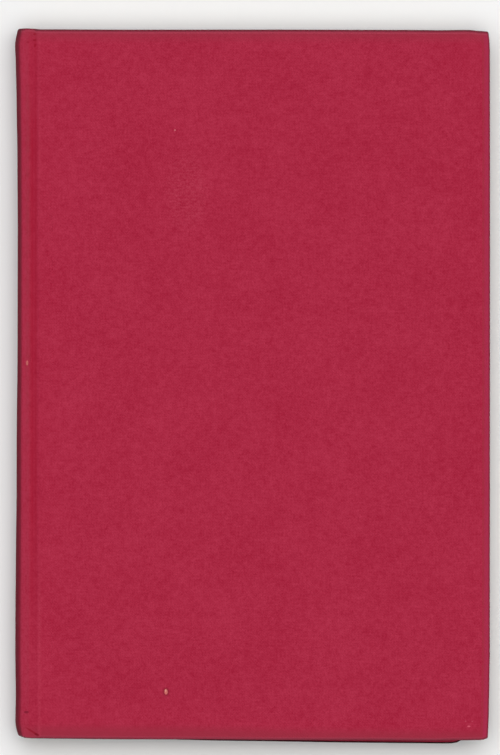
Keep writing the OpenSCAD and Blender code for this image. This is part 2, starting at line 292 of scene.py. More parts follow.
def page_edges():
    """Cut edges of the leaves: fine lines that follow each leaf, with a few foxed spots."""
    f = Finish("cut page edges")
    leaf = f.read("leaf")
    flat = f.read("flat", "Vector")
    x, y, _ = f.parts(flat)
    line = f.noise(f.join(x * 0.012, y * 0.012, leaf * 9.5), 1.0, 3.0, 0.75)
    group = f.noise(f.join(x * 0.004, y * 0.004, leaf * 1.1), 1.0, 2.0)
    speck = f.noise(flat, 0.8, 3.0, 0.6)
    shade = (line - 0.5) * 1.5 + (group - 0.5) * 0.8 + (speck - 0.5) * 0.35
    tone = f.mix(f.step(shade, -0.5, 0.5), paint(213, 201, 171), paint(249, 243, 225))
    foxed = f.step(f.noise(flat, 0.16, 4.0, 0.7), 0.62, 0.74, 0.0, 0.45)
    tone = f.mix(foxed, tone, paint(188, 160, 116))
    return f.surface(tone, f.step(line, 0.2, 0.8, 0.82, 0.95), f.bump(line, 0.00010, 0.7), 0.2)


def paper(name, light, dark):
    """Smooth uncoated sheet with a faint fibre and a little toning at its edges."""
    f = Finish(name)
    flat = f.read("flat", "Vector")
    x, y, _ = f.parts(flat)
    fibre = f.noise(f.join(x * 1.6, y * 0.5), 1.0, 3.0, 0.65)
    cloud = f.noise(flat, 0.045, 3.0, 0.6)
    rim = f.read("rim")
    tone = f.mix(f.step((fibre - 0.5) * 0.7 + (cloud - 0.5) * 0.7, -0.5, 0.5), paint(*dark), paint(*light))
    tone = f.mix(f.step(rim + cloud * 6.0, 2.0, 9.0, 0.5, 0.0), tone, paint(204, 182, 140))
    return f.surface(tone, f.step(fibre, 0.2, 0.8, 0.78, 0.9), f.bump(fibre, 0.00003, 0.6), 0.25)


def headband_thread():
    """Cotton wound over a core, each turn a little different."""
    f = Finish("headband thread")
    turn, around = f.read("turn"), f.read("around")
    strand = (turn * (2 * math.pi)).sine().size()
    each = f.noise(f.join(turn * 0.55, around * 0.3), 1.0, 2.0)
    hair = f.noise(f.join(turn * 5.0, around * 14.0), 1.0, 3.0, 0.7)
    tone = f.mix(f.step(each * 0.7 + hair * 0.3, 0.3, 0.7), paint(205, 190, 156), paint(240, 232, 210))
    # Painted shade in the crevices between the wound turns
    tone = f.mix(f.step(strand, 0.0, 0.35, 0.55, 0.0), tone, paint(150, 130, 96))
    return f.surface(tone, f.step(hair, 0.2, 0.8, 0.7, 0.85), f.bump(hair, 0.00004, 0.6), 0.3)


def hidden_stock(name, light, dark, weave=0.0, size=0.9):
    """Board, card, lining paper and mull, which lie inside the case."""
    f = Finish(name)
    where = f.node("ShaderNodeTexCoord", output=3)
    scaled = f.node("ShaderNodeVectorMath", {"operation": "SCALE"}, {0: where, "Scale": 1 / MM})
    x, y, _ = f.parts(scaled)
    fibre = f.noise(scaled, size, 4.0, 0.7)
    open_weave = (x * (math.pi / MULL_THREAD)).sine().size().most((y * (math.pi / MULL_THREAD)).sine().size())
    pattern = fibre * (1.0 - weave) + open_weave * weave
    tone = f.mix(f.step(pattern, 0.3, 0.8), paint(*dark), paint(*light))
    return f.surface(tone, f.step(fibre, 0.2, 0.8, 0.82, 0.95), f.bump(pattern, 0.0001, 0.6), 0.2)


# ---------------------------------------------------------------- shapes

# Spacing of the cloth's threads, how far they stray, and the spacing of the mull's
THREAD, THREAD_STRAY, MULL_THREAD = 0.46, 0.22, 0.8
# The cloth's darkest and lightest grain and its groove's dye with painted shade, its toned margins, lines, pale rims
# and painted rim shade, and its rubbed places, painted slope shade, worn pale places with painted highlight, and
# painted shade
CLOTH_DARK, CLOTH_LIGHT, GROOVE_DYE_AND_SHADE = (152, 16, 47), (179, 49, 76), (157, 14, 42)
HEAD_TONED, TAIL_TONED, FORE_TONED = (150, 46, 64), (150, 42, 61), (162, 42, 73)
FORE_LINE, FORE_LINE_IN = (156, 43, 61), 2.12
RIM_PALE, RIM_SHADE = (166, 68, 86), (104, 46, 57)
RUBBED, SLOPE_SHADE_COLOUR, WORN_AND_HIGHLIGHT_PALE, PAINTED_SHADE_COLOUR, PATCH = (166, 50, 74), (140, 48, 58), (184, 60, 84), (52, 12, 18), (198, 96, 112)
# How much painted shade lies on the back of the spine
BACK_PAINTED_SHADE = 0.42
# Where the cloth is chipped. Then the small marks on the front cover: place from the middle of the face, radii,
# colour, strength and slant
CHIP = (-27.0, -95.9)
MARKS = (
    ((-27.0, -95.95), (1.15, 1.35), (120, 26, 40), 0.5, 0),
    (CHIP, (0.50, 0.85), (205, 110, 105), 0.95, 0),
    ((-27.15, -95.55), (0.20, 0.35), (224, 160, 140), 0.8, 0),
    ((68.1, -106.75), (0.50, 0.27), (208, 88, 108), 0.85, 0),
    ((67.0, -105.2), (0.22, 0.20), (196, 78, 98), 0.6, 0),
    ((69.1, -105.2), (0.22, 0.20), (196, 78, 98), 0.6, 0),
    ((68.2, -106.0), (0.70, 0.14), (186, 66, 88), 0.4, 0),
    ((-24.2, 80.2), (0.28, 0.28), (206, 110, 120), 0.7, 0),
    ((-70.6, 7.2), (0.35, 0.75), (205, 120, 110), 0.6, 0),
    ((-70.9, -102.3), (0.80, 0.40), (112, 14, 34), 0.65, 0),
    ((-69.0, -108.35), (2.00, 0.34), (140, 12, 32), 0.75, 0.6),
    ((-67.5, -109.35), (0.75, 0.40), (118, 10, 28), 0.75, 0.3),
    ((-68.2, 110.3), (0.50, 0.30), (142, 12, 34), 0.7, 0),
    ((-68.2, 108.45), (0.60, 0.25), (138, 10, 32), 0.75, 0),
    ((-68.1, 106.7), (0.35, 0.55), (146, 12, 36), 0.7, 0),
    ((-70.4, 107.8), (0.45, 0.30), (144, 18, 40), 0.6, 0),
)


def make(name, points, faces, finish, values):
    """A smooth mesh piece. values are what its finish reads at each point."""
    mesh = bpy.data.meshes.new(name)
    mesh.from_pydata(points.tolist(), [], faces)
    for key, value in values.items():
        value = np.asarray(value, np.float32)
        kind = "FLOAT" if value.ndim == 1 else "FLOAT_VECTOR"
        stored = mesh.attributes.new(key, kind, "POINT")
        stored.data.foreach_set("value" if value.ndim == 1 else "vector", value.ravel())
    mesh.polygons.foreach_set("use_smooth", np.ones(len(mesh.polygons), bool))
    mesh.materials.append(finish)
    mesh.update()
    piece = bpy.data.objects.new(name, mesh)
    bpy.context.scene.collection.objects.link(piece)
    return piece


def thicken(piece, thickness):
    """Gives a sheet its thickness, on the side away from its face."""
    shell = piece.modifiers.new("thickness", "SOLIDIFY")
    shell.thickness = thickness * MM
    shell.offset = -1.0
    shell.use_rim = True
    return shell


def grid_faces(columns, rows, flip):
    """Faces of a grid whose points are stored column by column."""
    c, r = np.meshgrid(np.arange(columns - 1), np.arange(rows - 1), indexing="ij")
    a = (c * rows + r).ravel()
    quads = np.stack([a, a + rows, a + rows + 1, a + 1], -1)
    return (quads[:, ::-1] if flip else quads).tolist()


def runs(*stops):
    """Places from stop to stop, each given as (end, step), after a first start."""
    out = [stops[0]]
    for end, step in stops[1:]:
        n = max(1, round((end - out[-1]) / step))
        out += list(np.linspace(out[-1], end, n + 1)[1:])
    return np.array(out)


# Outline of the case as seen from the front: where its edges lie, as (place, value)
HEAD = {1: ((0, 112.12), (1.2, 112.12), (2.4, 112.12), (4.2, 112.1), (6.2, 111.99), (8, 111.81), (14, 111.81),
            (36, 111.71), (83, 111.74), (108, 111.67), (124, 111.63), (133, 111.54), (141, 111.64), (143, 111.59),
            (145.5, 111.32), (149.2, 111.1)),
        -1: ((0, 112.12), (1.2, 112.0), (3, 111.7), (14, 111.45), (149.2, 111.2))}
TAIL = {1: ((0, -109.93), (1.2, -110.12), (2.4, -110.28), (2.9, -110.36), (5, -110.52), (14, -110.63),
            (36, -110.82), (58, -110.90), (83, -111.08), (108, -111.12), (131, -111.30), (139, -111.16),
            (143, -111.10), (146.2, -111.06), (147.3, -110.90), (148.2, -110.5), (149.2, -110.1)),
        -1: ((0, -109.93), (1.2, -110.1), (14, -110.5), (36, -111.0), (70, -111.72), (108, -112.26),
             (121, -112.4), (136.4, -112.52), (138.2, -112.46), (140.0, -111.95), (141.0, -111.2), (149.2, -110.4))}
FORE = {1: ((-112, 148.0), (-109, 148.22), (-103, 148.44), (-92, 148.63), (-84, 148.77), (20, 148.83), (70, 148.83),
            (105, 148.78), (108.3, 148.66), (110, 148.45), (112, 148.2)),
        -1: ((-112, 147.8), (-98, 148.2), (104, 148.4), (112, 148.0))}
# How far the spine and its ridge are pressed in along the height, and the depth of the pressed groove
SPINE_WAVE = ((-112, -0.04), (-107, -0.22), (-104, -0.16), (-97, -0.02), (-84, -0.20), (-68, -0.14), (-50, 0.03),
              (-34, 0.21), (-15, 0.25), (8, 0.50), (50, 0.58), (72, 0.47), (90, 0.22), (101, -0.04), (107, -0.24),
              (112, -0.22))
RIDGE_WAVE = ((-112, 0.05), (-98, 0.13), (-60, 0.16), (-30, 0.10), (0, 0.04), (112, 0.0))
GROOVE = ((-112, 0.14), (-84, 0.16), (-60, 0.26), (-30, 0.34), (80, 0.38), (100, 0.30), (112, 0.22))
# How far from its ends the spine bends in and by how much, and half the depth of the waves in a cover's face
CAP_LEN, CAP_IN, FACE_WAVE = 4.85, 0.88, 0.03
# Columns of points on the spine's arc and on its ridge, and the columns where the folded cloth is shown thin
ARC_COLUMNS, RIDGE_COLUMNS = 15, 12
THIN_MIDDLE, THIN_HALF = 21, 9
# Share of the cloth's thickness that its sheet is shown with, and the thickness of an endpaper's sheet
CLOTH_SHARE, SHEET_T = 0.85, 0.1
# Where a cover begins to follow its fore-edge's swelling
PULL_FROM = 100
# How far round the rolled edge, in radians, it is rubbed and carries less painted shade
RUBBED_TURN = 0.8


def pull(u, end):
    """How far a place on a board follows the fore-edge's swelling, from 0 at PULL_FROM to 1 at its end."""
    return np.clip((u - PULL_FROM) / (end - PULL_FROM), 0, 1) ** 2


class Section:
    """Columns of a cover's cloth, from the middle of the spine to the fore-edge: its outer face, the inner
    face of what is turned in behind it, and how far each column follows the spine's and groove's shape."""

    def __init__(self, side):
        self.side = side
        a = RIDGE_SWEEP * np.linspace(0, 1, ARC_COLUMNS) ** 1.5
        b = np.linspace(math.pi - RIDGE_SWEEP, math.pi / 2, RIDGE_COLUMNS + 1)[1:]
        u = runs(RIDGE_U, (BOARD_U + 0.6, 0.28), (BOARD_U + 4, 0.7), (COVER_W - 6, 1.7),
                 (COVER_W - EDGE_R, 0.6))[1:]
        depth = RIDGE_DROP * (1 - smooth((u - RIDGE_U) / (BOARD_U - RIDGE_U)))
        cloth2 = 2 * CLOTH_T
        thick = TURNED + (cloth2 - TURNED) * smooth((u - RIDGE_U) / 0.7)
        thick = thick + (UNDER_TURN - cloth2) * smooth((u - HINGE_U - 0.4) / 1.2)
        back = BACK_R - TURNED
        tight = RIDGE_R - TURNED
        self.u = np.concatenate([BACK_R - BACK_R * np.cos(a), RIDGE_U + RIDGE_R * np.cos(b), u])
        self.z = np.concatenate([BACK_R * np.sin(a), RIDGE_Z + RIDGE_R * np.sin(b), HALF_T - depth])
        self.iu = np.concatenate([BACK_R - back * np.cos(a), RIDGE_U + tight * np.cos(b), u])
        self.iz = np.concatenate([back * np.sin(a), RIDGE_Z + tight * np.sin(b), HALF_T - depth - thick])
        self.thick = np.hypot(self.iu - self.u, self.iz - self.z)
        self.roll = np.minimum(EDGE_R, self.thick * 0.47)
        self.s = np.concatenate([[0], np.cumsum(np.hypot(np.diff(self.u), np.diff(self.z)))])
        self.sway = 1 - smooth((self.u - 0.4) / 2.4)
        self.ridge = smooth(self.u / 1.5) * (1 - smooth((self.u - 3.0) / 2.4))
        self.cap = 1 - smooth((self.u - 0.9) / 1.8)
        self.bell = np.clip(1 - np.abs((self.u - 5.6) / 1.75) ** 2.6, 0, 1) ** 2
        self.deep = smooth((self.u - 4.1) / 0.7) * (1 - smooth((self.u - 6.4) / 0.7))
        self.crease, self.crease_head = hump(self.u, 5.3, 0.2), hump(self.u, 6.3, 0.25)
        self.face = smooth((self.u - BOARD_U) / 4)
        self.pull = pull(self.u, COVER_W - EDGE_R)
        self.head, self.tail = eased(self.u, HEAD[side]), eased(self.u, TAIL[side])
        self.ridge_wear, self.board_wear = hump(self.u, 3.1, 1.1, 4), hump(self.u, 7.45, 0.40)

    def skin(self, c, y, f):
        """u and z of column c at y, from the outer face (f = 0) to the inner one (f = 1)."""
        near_end = np.minimum(self.head[c] - y, y - self.tail[c])
        bent = CAP_IN * self.cap[c] * np.clip(1 - near_end / CAP_LEN, 0, 1) ** 1.4 * (1 - 0.25 * f)
        moved = self.sway[c] * eased(y, SPINE_WAVE) + self.ridge[c] * eased(y, RIDGE_WAVE) + bent
        moved = moved + self.pull[c] * (eased(y, FORE[self.side]) - COVER_W)
        sunk = self.bell[c] * eased(y, GROOVE)
        waves = 1.8 + np.sin(self.u[c] / 13 + 0.4) * np.sin(y / 17)
        sunk = sunk + (1 - f) * self.face[c] * FACE_WAVE * waves
        u = self.u[c] + (self.iu[c] - self.u[c]) * f + moved
        z = self.z[c] - sunk + (self.iz[c] - self.z[c]) * f
        return u, z * self.side


def cloth_half(name, side):
    """Half of the covering cloth: outer face, rolled edges and what is turned in, from the middle of the spine."""
    sec = Section(side)
    share = runs(0, (0.03, 0.003), (0.97, 0.0075), (1.0, 0.003))
    columns, rows = len(sec.u), len(share)
    lo, hi = sec.tail + sec.roll, sec.head - sec.roll
    y = lo[:, None] + (hi - lo)[:, None] * share
    u, z = sec.skin(np.arange(columns)[:, None], y, 0.0)
    section_u, s = sec.u[:, None], np.broadcast_to(sec.s[:, None] * side, y.shape)
    fore = eased(y, FORE[side])
    from_edge = np.minimum(np.minimum(hi[:, None] - y, y - lo[:, None]), fore - u)
    rims = np.stack([fore - u, y - lo[:, None], hi[:, None] - y], -1).reshape(-1, 3)
    wear = np.maximum(sec.ridge_wear[:, None], np.exp(-from_edge / 0.35) * 0.7)
    # Worn pale on the board's rim towards head and tail, and a painted highlight where the spine turns up into the
    # ridge
    ends = 0.45 * smooth((-40 - y) / 40) + 0.25 * smooth((y - 30) / 40)
    pale = sec.board_wear[:, None] * ends + 0.5 * hump(section_u, 1.8, 0.4) * (side > 0)
    # Painted shade: the back of the spine is darkened most, the rear cover a little all over
    elsewhere = 0.0 if side > 0 else 0.3
    painted_shade = BACK_PAINTED_SHADE + (elsewhere - BACK_PAINTED_SHADE) * smooth((section_u - 0.5) / 0.8)
    # Painted shade on the slope into the groove; the groove darker from dye and painted shade, its crease nearer the
    # board at the head
    along_joint = 0.35 + 0.65 * smooth((y + 45) / 50) * (1 - smooth((y - 86) / 14))
    slope_shade = 0.42 * hump(section_u, 3.9, 0.75) * along_joint
    middle = smooth((y + 95) / 60) * (1 - 0.4 * smooth((y - 80) / 15))
    headward = smooth((y - 76) / 14)
    crease = sec.crease[:, None] * (1 - headward) + sec.crease_head[:, None] * headward
    crease = crease + sec.crease_head[:, None] * 0.5 * (1 - headward)
    joint = middle * (0.33 * sec.deep[:, None] + 0.33 * crease)

    points, owners = [place(u, y, z)], [np.repeat(np.arange(columns), rows)]
    carried = {"flat": [np.stack([s, y, 0 * y], -1).reshape(-1, 3)], "rims": [rims]}
    for key, value in (("wear", wear), ("pale", pale), ("slope_shade", slope_shade), ("painted_shade", painted_shade), ("joint", joint)):
        carried[key] = [np.broadcast_to(value, y.shape).ravel()]
    faces = grid_faces(columns, rows, side < 0)

    # One ring of points round tail, fore-edge and head, with a fan at each corner
    fan = 5
    last = columns - 1
    around = np.radians(np.concatenate([
        np.full(columns, -90.0), np.linspace(-90, 0, fan + 2)[1:-1], np.zeros(rows),
        np.linspace(0, 90, fan + 2)[1:-1], np.full(columns, 90.0)]))
    col = np.concatenate([np.arange(columns), np.full(2 * fan + rows, last), np.arange(columns)[::-1]])
    row = np.concatenate([np.zeros(columns + fan, int), np.arange(rows), np.full(fan + columns, rows - 1)])
    first = np.concatenate([
        np.arange(columns), np.full(fan, last), last + np.arange(rows), np.full(fan, last + rows - 1),
        last + rows - 1 + np.arange(columns)])
    nu, ny = np.cos(around), np.sin(around)
    nu[np.abs(nu) < 1e-9] = 0
    base_y, thick, roll = y[col, row], sec.thick[col], sec.roll[col]

    def lay(index, at_y, at_u, at_z, length, rim, worn=0.0, dark=0.0):
        """A ring of points, `length` on along the cloth from the flat face, with what the finish reads there."""
        start = sum(len(p) for p in points)
        points.append(place(at_u, at_y, at_z))
        owners.append(col[index])
        out_s = (sec.s[col[index]] + nu[index] * length) * side
        carried["flat"].append(np.stack([out_s, base_y[index] + ny[index] * length, 0 * out_s], -1))
        carried["rims"].append(rim)
        for key, value in (("wear", worn), ("pale", 0.0), ("slope_shade", 0.0), ("painted_shade", dark), ("joint", 0.0)):
            carried[key].append(np.broadcast_to(value, len(index)))
        return (start + np.arange(len(index))).tolist()

    def join(a, b):
        """Faces between two rings of point numbers."""
        for i in range(len(a) - 1):
            quad = [a[i], b[i], b[i + 1], a[i + 1]]
            quad = [p for k, p in enumerate(quad) if p != quad[k - 1]]
            if len(quad) > 2:
                faces.append(quad[::-1] if side < 0 else quad)

    # The rolled edge, a quarter turn down and a quarter turn in
    under = col * rows + row
    everyone, ring = np.arange(len(col)), under.tolist()
    turns = list(np.radians(np.linspace(0, 90, 7)[1:])) + list(np.radians(np.linspace(90, 180, 7)[:-1]))
    for k, turn in enumerate(turns):
        inner_half = k >= len(turns) // 2
        f = 1 - roll * (1 + np.cos(turn)) / thick if inner_half else roll * (1 - np.cos(turn)) / thick
        out = roll * math.sin(turn)
        length = roll * turn + (thick - 2 * roll if inner_half else 0)
        at_y = base_y + ny * out
        at_u, at_z = sec.skin(col, at_y, f)
        # Painted shade on the rolled edge, more towards head and fore-edge; on the rear cover a painted shadow,
        # darkest at the tail
        worn, dark = 0.2, 0.6
        if turn < RUBBED_TURN:
            worn, dark = 0.8, 0.1 + 0.2 * np.maximum(ny, 0) + 0.25 * nu
        if side < 0:
            dark = 0.7 + 0.3 * np.maximum(-ny, 0)
        ring_next = lay(everyone, at_y, at_u + nu * out, at_z, length, rims[under], worn, dark)
        join(ring, ring_next)
        ring = ring_next

    # The inner face: the ring closes its fans, then runs in from the edge, mitred at the fore-edge corners
    single = np.concatenate([[0], np.flatnonzero(np.diff(first)) + 1])
    pivot_u, end_u = 40.0, COVER_W - EDGE_R
    mid, half = (hi[last] + lo[last]) / 2, (hi[last] - lo[last]) / 2
    on_fore = nu[single] > 0.99
    corner = (col[single] == last) & ((row[single] == 0) | (row[single] == rows - 1))
    far_from_rims = np.full((len(single), 3), 20.0)
    for k, inset in enumerate((0, 0.5, 1.2, 2.0, 2.8, 3.6, 5.0, 7.0, 9.5, 12.0, TURN_IN - EDGE_R)):
        at_y = base_y[single] - ny[single] * inset
        at_y = np.where(on_fore, mid + (base_y[single] - mid) * (half - inset) / half, at_y)
        at_u, at_z = sec.skin(col[single], at_y, 1.0)
        slid = pivot_u + (at_u - pivot_u) * (end_u - inset - pivot_u) / (end_u - pivot_u)
        at_u = np.where(at_u > pivot_u, slid, at_u)
        at_z = at_z + np.where(corner & (inset > 0), 0.09 * side, 0.0)
        length = math.pi * roll[single] + thick[single] - 2 * roll[single] + inset
        ring_next = lay(single, at_y, at_u, at_z, length, far_from_rims)
        join(ring, ring_next if k else [ring_next[i] for i in first])
        ring = ring_next
    piece = make(name, np.concatenate(points), faces, CLOTH,
                 {key: np.concatenate(value) for key, value in carried.items()})
    shell = thicken(piece, CLOTH_T * CLOTH_SHARE)
    # The spine's middle, where the two halves meet, is shaded as one surface
    owner = np.concatenate(owners)
    edge_ends = np.array([edge.vertices[:] for edge in piece.data.edges])
    at_middle = owner[edge_ends].max(1) == 0
    piece.data.attributes.new("sharp_edge", "BOOLEAN", "EDGE").data.foreach_set("value", at_middle)
    # What is folded in at the ridge is thin, as its roll is too tight for the full sheet
    thin = np.abs(owner - THIN_MIDDLE) < THIN_HALF
    thin[:columns * rows] = False
    full = piece.vertex_groups.new(name="full thickness")
    full.add(np.flatnonzero(~thin).tolist(), 1.0, "REPLACE")
    shell.vertex_group, shell.thickness_vertex_group = full.name, 0.1
    return piece


CLOTH_SECTION = Section(1)
FACE_S = float(np.interp(COVER_W / 2, CLOTH_SECTION.u, CLOTH_SECTION.s))
CLOTH = cover_cloth()
PAGES = page_edges()
ENDPAPER = paper("endpaper", (240, 233, 214), (229, 219, 194))
THREADS = headband_thread()
BOARD = hidden_stock("grey board", (158, 149, 132), (122, 113, 98))
CARD = hidden_stock("spine card", (176, 160, 132), (146, 130, 104), size=1.4)
LINING = hidden_stock("lining paper", (190, 160, 118), (160, 130, 90), size=1.2)
MULL = hidden_stock("open mull", (222, 214, 190), (170, 160, 134), weave=0.6)


def arc(centre, r, start, end, n):
    a = np.radians(np.linspace(start, end, n))
    return np.stack([centre[0] + r * np.cos(a), centre[1] + r * np.sin(a)], -1)


def run_angle(c, r, g, gr):
    """Where a straight run leaves the circle (c, r) on its way down into the hollow one (g, gr)."""
    du, dz = g[0] - c[0], g[1] - c[1]
    return math.degrees(math.atan2(dz, du) - math.asin((r + gr) / math.hypot(du, dz))) + 90


# The backed shoulder: its tip's height and place, the flare from which the leaves lie flat, and the hollow that the
# pastedown runs through into the joint
TIP_Z, FLARE_R, HOLLOW_R = 10.9, 2, 1.55
TIP_R = BACK_R - UNDER_INLAY - HOLLOW - LINING_T - 0.5
TIP_SWEEP = math.degrees(math.asin(TIP_Z / TIP_R))
TIP = (BACK_R - TIP_R * math.cos(math.radians(TIP_SWEEP)), TIP_Z)
FLARE = (HINGE_U + 0.5, HALF_T - BLOCK_TOP + FLARE_R)
HOLLOW_C = (HINGE_U, HALF_T - UNDER_BOARD + 1.45)
FLYLEAF_OUT, PASTEDOWN_OUT = 0.14, 0.17
TURN_Y = (PAGE_H + 2 * SQUARE) / 2 - CLOTH_T - TURN_IN
TURN_U = COVER_W - CLOTH_T - TURN_IN
PAGE_LO, PAGE_HI = CENTRE_Y - PAGE_H / 2, CENTRE_Y + PAGE_H / 2


def shoulder(r):
    """The first leaf's face at a distance r from the block, from its fold to where it lies flat."""
    n = run_angle(TIP, r, FLARE, FLARE_R - r)
    return np.concatenate([arc(TIP, r, 180 - TIP_SWEEP, n, 8), arc(FLARE, FLARE_R - r, n + 180, 270, 9)])


def stacked(name, loops, across, along, finish, values):
    """A solid made of outlines laid on each other. Each has `across` points along the tail, `along` between
    the corners of the fore-edge, `across` back along the head and `along` down the spine side."""
    count = len(loops[0])
    faces = []
    for k in range(len(loops) - 1):
        a = k * count + np.arange(count)
        faces += np.stack([a, np.roll(a, -1), np.roll(a, -1) + count, a + count], -1).tolist()
    for at in (0, (len(loops) - 1) * count):
        tail = list(range(at, at + across))
        head = list(range(at + across + along, at + 2 * across + along))[::-1]
        fore = list(range(at + across, at + across + along))
        back = list(range(at + 2 * across + along, at + count))
        cap = [[tail[0], tail[1], head[1], head[0]] + back]
        cap += [[tail[i], tail[i + 1], head[i + 1], head[i]] for i in range(1, across - 2)]
        cap.append([tail[-2], tail[-1]] + fore + [head[-1], head[-2]])
        faces += [c[::-1] if at == 0 else c for c in cap]
    return make(name, np.concatenate(loops), faces, finish, values)


def text_block():
    """The leaves in twelve folded sections, each cut a hair longer or shorter than the next."""
    rng = np.random.default_rng(11)
    sections, per_section, half = 12, 15, BLOCK_T / 2
    lines = sections * per_section + 1
    v = np.linspace(-1, 1, lines)
    index = np.arange(lines)
    inset = 0.02 + np.where(index % 3 == 0, 0.05, 0.0) + np.where(index % per_section == 0, 0.05, 0.0)
    inset = inset + rng.uniform(0, 0.035, lines)
    phase = rng.uniform(0, 6.28, (lines, 2))
    outline = shoulder(0.0)
    tip_u, tip_z = 3.2, TIP_Z + 0.05
    outline_u, outline_z = np.concatenate([[tip_u], outline[:, 0]]), np.concatenate([[tip_z], outline[:, 1]])
    out = np.concatenate([[0], 0.03 + np.cumsum(np.linspace(0.3, 0.5, 9)), np.linspace(6, 140, 34),
                          [PAGE_W - 0.2, PAGE_W]])
    up = np.concatenate([[0.15], np.linspace(3, PAGE_H - 3, 44), [PAGE_H - 0.15]])
    side_y = PAGE_LO + up
    inner_r = BACK_R - BLOCK_BACK
    loops, leaf = [], []
    for j in range(lines):
        def height(u):
            top = np.interp(u, outline_u, outline_z)
            return v[j] * half + (top - 0.03 - half) * v[j] * abs(v[j]) ** 3
        back_z = height(tip_u)
        back = BACK_R - math.sqrt(inner_r ** 2 - back_z ** 2) + 0.03
        fore = BACK_R + PAGE_W - math.sqrt(inner_r ** 2 - (half * v[j]) ** 2)
        u = back + (fore - inset[j] - back) * out / PAGE_W
        lo = PAGE_LO + inset[j] + 0.02 * np.sin(out / 23 + phase[j, 0])
        hi = PAGE_HI - inset[j] - 0.02 * np.sin(out / 19 + phase[j, 1])
        fore_u = fore - inset[j] - 0.02 * np.sin(side_y / 21 + phase[j, 1]) ** 2
        loop = np.concatenate([
            place(u, lo, height(u)), place(fore_u, side_y, height(fore_u)),
            place(u[::-1], hi[::-1], height(u[::-1])), place(back, side_y[::-1], back_z)])
        loops.append(loop)
        leaf.append(np.full(len(loop), v[j] * half))
    piece = stacked("text_block_leaves", loops, len(out), len(up), PAGES,
                    {"leaf": np.concatenate(leaf), "flat": np.concatenate(loops) / MM})
    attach(piece, "book_block")
    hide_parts("text_block")


def sheet(name, u, y, z, side, facing, s, finish, thickness, rim):
    """A sheet given by the place of every point of its visible face, spine to fore-edge and tail to head."""
    columns, rows = u.shape
    flat = np.stack([np.broadcast_to(s[:, None], u.shape), y, 0 * y], -1).reshape(-1, 3)
    piece = make(name, place(u, y, z * side), grid_faces(columns, rows, side * facing < 0), finish,
                 {"flat": flat, "rim": rim.ravel()})
    thicken(piece, thickness)
    return piece


def along(path):
    return np.concatenate([[0], np.cumsum(np.hypot(*np.diff(path, axis=0).T))])


def flyleaf(name, side, node):
    """First or last leaf, folded back at the shoulder."""
    rng = np.random.default_rng(5 + side)
    path = shoulder(FLYLEAF_OUT)
    flat_u = runs(path[-1, 0], (12, 1.5), (PAGE_EDGE - 2, 4.5), (PAGE_EDGE - 0.1, 0.6))[1:]
    path = np.concatenate([path, np.stack([flat_u, np.full(len(flat_u), path[-1, 1])], -1)])
    share = runs(0, (0.02, 0.004), (0.98, 0.016), (1.0, 0.004))
    lo, hi = PAGE_LO + 0.08, PAGE_HI - 0.06
    y = np.broadcast_to(lo + (hi - lo) * share, (len(path), len(share)))
    u = np.broadcast_to(path[:, :1], y.shape) - 0.05 * rng.uniform(0, 1) * smooth((path[:, :1] - 140) / 5)
    z = np.broadcast_to(path[:, 1:], y.shape)
    rim = np.minimum(np.minimum(y - lo, hi - y), path[-1, 0] - u)
    piece = sheet(name, u, y, z, side, 1, along(path), ENDPAPER, SHEET_T, rim)
    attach(piece, "book_block")
    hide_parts(node)


def cross_joint(piece, side, start, end):
    """Bakes the sheet's place into its points, the same for both covers; it is not bent across the joint."""
    near, far = [tuple(place(u, CENTRE_Y, side * HALF_T)[0]) for u in (start, end)]
    if side > 0:
        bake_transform(piece)
    else:
        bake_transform(piece)


def pastedown(name, side, nodes):
    """The other half of that sheet: from the fold over the joint and down on the board, where it shows the
    mull's flange and the turned-in cloth under it."""
    n = run_angle(TIP, PASTEDOWN_OUT, HOLLOW_C, HOLLOW_R)
    strip = np.concatenate([arc(TIP, PASTEDOWN_OUT, 180 - TIP_SWEEP, n, 8), arc(HOLLOW_C, HOLLOW_R, n + 180, 270, 9)])
    flange = BOARD_IN + MULL_FLANGE
    more = runs(HINGE_U, (BOARD_IN + 1, 0.25), (flange - 1.2, 2.4), (flange + 1.2, 0.2), (TURN_U - 1.2, 4.0),
                (TURN_U + 1.2, 0.2), (PAGE_EDGE - 0.1, 1.2))[1:]
    u = np.concatenate([strip[:, 0], more])[:, None]
    half = PAGE_H / 2 - 0.06
    ys = runs(-half, (-TURN_Y - 1, 1.0), (-TURN_Y + 2, 0.2), (TURN_Y - 2, 4.0), (TURN_Y + 1, 0.2), (half, 1.0))[None]
    up = np.abs(ys)
    over_turn = np.maximum(smooth((up - TURN_Y + 0.3) / 0.6), smooth((u - TURN_U + 0.3) / 0.6))
    over_mull = (1 - smooth((u - flange + 0.3) / 0.7)) * (1 - smooth((up - TURN_Y + 0.9) / 0.6))
    depth = UNDER_BOARD + PAPER_T + np.maximum(over_turn * CLOTH_T, over_mull * MULL_T)
    joined = smooth((u - HINGE_U - 0.1) / 1.0)
    at_joint = UNDER_BOARD + SHEET_T
    z = HALF_T - (at_joint + (depth - at_joint) * joined)
    z = np.where(u > HINGE_U + 1e-6, z, np.concatenate([strip[:, 1], np.zeros(len(more))])[:, None])
    u, y = np.broadcast_arrays(u, ys + CENTRE_Y)
    rim = np.minimum(half - np.abs(y - CENTRE_Y), PAGE_EDGE - u)
    path = np.stack([u[:, 0], z[:, z.shape[1] // 2]], -1)
    piece = sheet(name, u, y, z, side, -1, along(path), ENDPAPER, SHEET_T, rim)
    cross_joint(piece, side, 4.0, 6.5)
    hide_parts(*nodes)


